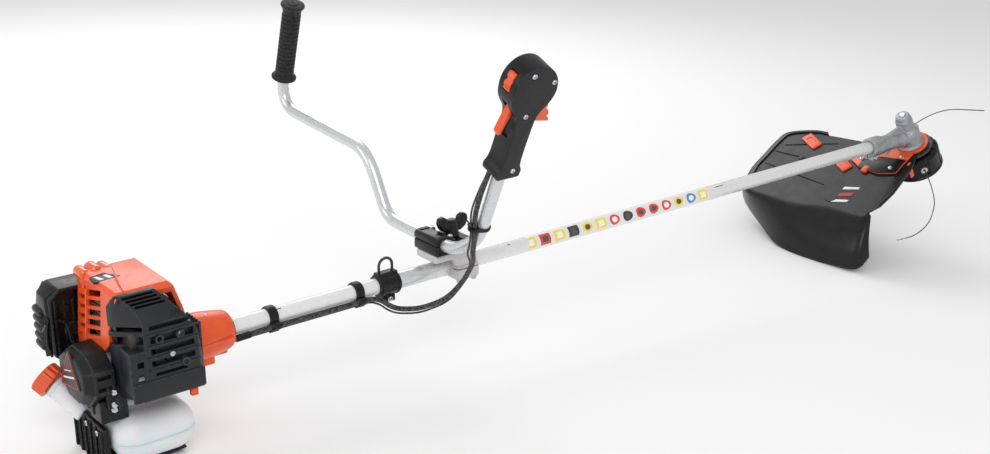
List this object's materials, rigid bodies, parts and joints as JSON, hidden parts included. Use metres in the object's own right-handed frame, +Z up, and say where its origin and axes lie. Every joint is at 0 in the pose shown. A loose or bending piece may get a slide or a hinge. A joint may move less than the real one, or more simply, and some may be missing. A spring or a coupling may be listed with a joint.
{
  "type": "string trimmer",
  "caption": "Petrol string trimmer with a straight shaft, wide U handlebar, rear engine, curved debris guard and a bump-feed line head.",
  "frame": {"origin": "centre of the flat skid under the fuel tank, which rests on the ground", "axes": "+X from the engine towards the cutting head (the shaft rises 3.5 degrees towards the head as the machine rests), +Y to the operator's left, +Z up"},
  "size_m": [2.005, 0.7259, 0.5538],
  "materials": {
    "orange_plastic": "satin orange engine plastic",
    "dark_plastic": "dark grey moulded plastic",
    "black_plastic": "black moulded plastic",
    "tank_plastic": "milky tank plastic",
    "grip_rubber": "soft black rubber",
    "cast_alloy": "cast alloy",
    "steel": "machined steel",
    "white_tube": "white painted tube",
    "black_metal": "black painted metal",
    "nylon_line": "black nylon line",
    "cable_sheath": "black sheath",
    "filter_foam": "filter foam",
    "clear_rubber": "translucent bulb"
  },
  "bodies": {
    "frame": {"crankcase": "cast_alloy", "cylinder": "cast_alloy", "fan_housing": "black_plastic", "starter_cover": "dark_plastic", "engine_cover": "orange_plastic", "spark_plug": "black_plastic", "muffler": "steel", "muffler_cover": "dark_plastic", "filter_cover": "black_plastic", "filter_element": "filter_foam", "carburettor": "cast_alloy", "fuel_tank": "tank_plastic", "tank_guard": "black_plastic", "clutch_housing": "orange_plastic", "engine_screws": "steel", "drive_tube": "white_tube", "shaft_bushes": "black_plastic", "cable_clips": "black_plastic", "hanger_clamp": "black_metal", "hanger_eye": "steel", "tube_bolts": "steel", "handle_bracket": "black_metal", "throttle_cable": "cable_sheath", "stop_wire": "cable_sheath", "gear_case": "cast_alloy", "bearings": "steel", "debris_guard": "dark_plastic", "guard_bracket": "orange_plastic", "line_cutter": "steel"},
    "crank": {"crankshaft": "steel", "flywheel": "cast_alloy", "clutch_shoes": "steel"},
    "piston_body": {"piston": "cast_alloy"},
    "drive": {"clutch_drum": "steel", "drive_shaft": "steel", "pinion_gear": "steel"},
    "head": {"output_gear": "steel", "safety_plate": "black_metal", "head_housing": "black_plastic", "line_eyelets": "steel", "trimmer_lines": "nylon_line"},
    "bump": {"line_spool": "black_plastic", "spool_knob": "black_plastic"},
    "bar": {"handlebar": "black_metal", "left_grip": "grip_rubber", "clamp_base": "black_metal", "clamp_cap": "black_metal", "clamp_screws": "steel", "throttle_shell_outer": "dark_plastic", "throttle_shell_inner": "dark_plastic", "throttle_screws": "steel", "cable_tie": "black_plastic"},
    "knob": {"wing_knob": "black_plastic"},
    "trigger": {"throttle_trigger": "orange_plastic"},
    "lockout": {"lockout_lever": "orange_plastic"},
    "switch": {"stop_switch": "orange_plastic"},
    "pull_grip": {"starter_grip": "black_plastic"},
    "purge": {"purge_bulb": "clear_rubber"},
    "choke": {"choke_lever": "orange_plastic"},
    "cap": {"fuel_cap": "orange_plastic"}
  },
  "joints": [
    {"name": "crank_spin", "type": "hinge", "parent": "frame", "child": "crank", "pos_m": [0.00165, 0, 0.13785], "axis": [0.9982, 0, 0.0606], "continuous": true},
    {"name": "piston_travel", "type": "slide", "parent": "frame", "child": "piston_body", "axis": [-0.0606, 0, 0.9982], "range_m": [0, 0.028]},
    {"name": "head_spin", "type": "hinge", "parent": "frame", "child": "head", "pos_m": [1.74155, 0, 0.20876], "axis": [0.5516, 0, -0.8341], "continuous": true},
    {"name": "drive_spin", "type": "hinge", "parent": "frame", "child": "drive", "pos_m": [0.85009, 0, 0.18935], "axis": [0.9982, 0, 0.0606], "continuous": true},
    {"name": "bump_feed", "type": "slide", "parent": "head", "child": "bump", "axis": [-0.5516, 0, 0.8341], "range_m": [0, 0.006], "stiffness_N_per_m": 1500, "springref_m": -0.004},
    {"name": "handlebar_swing", "type": "hinge", "parent": "frame", "child": "bar", "pos_m": [0.54123, 0, 0.21068], "axis": [-0.0606, 0, 0.9982], "range_deg": [-90, 0], "deforming": ["throttle_cable", "stop_wire"]},
    {"name": "knob_turn", "type": "hinge", "parent": "bar", "child": "knob", "pos_m": [0.54002, 0, 0.23064], "axis": [-0.0606, 0, 0.9982], "range_deg": [0, 720]},
    {"name": "trigger_squeeze", "type": "hinge", "parent": "bar", "child": "trigger", "pos_m": [0.50354, -0.21587, 0.48506], "axis": [-0.0244, 0.915, 0.4028], "range_deg": [0, 16], "stiffness_Nm_per_rad": 0.4, "springref_deg": -17.19},
    {"name": "lockout_press", "type": "hinge", "parent": "bar", "child": "lockout", "pos_m": [0.47559, -0.21587, 0.48337], "axis": [0.0244, -0.915, -0.4028], "range_deg": [0, 8], "stiffness_Nm_per_rad": 0.3, "springref_deg": -17.19},
    {"name": "stop_slide", "type": "slide", "parent": "bar", "child": "switch", "axis": [-0.0554, -0.4035, 0.9133], "range_m": [0, 0.004]},
    {"name": "starter_pull", "type": "slide", "parent": "frame", "child": "pull_grip", "axis": [0, 1, 0], "range_m": [0, 0.45], "stiffness_N_per_m": 8, "springref_m": -0.2},
    {"name": "purge_press", "type": "slide", "parent": "frame", "child": "purge", "axis": [-0.0606, 0, 0.9982], "range_m": [0, 0.003], "stiffness_N_per_m": 800, "springref_m": -0.001},
    {"name": "choke_turn", "type": "hinge", "parent": "frame", "child": "choke", "pos_m": [0.008, 0.059, 0.19835], "axis": [-0.0606, 0, 0.9982], "range_deg": [0, 60]},
    {"name": "fuel_cap_turn", "type": "hinge", "parent": "frame", "child": "cap", "pos_m": [-0.0814, 0.07482, 0.09491], "axis": [-0.5271, 0.6218, 0.5793], "range_deg": [0, 720]}
  ],
  "couplings": [
    {"joint": "drive_spin", "follows": "head_spin", "ratio": 2}
  ]
}
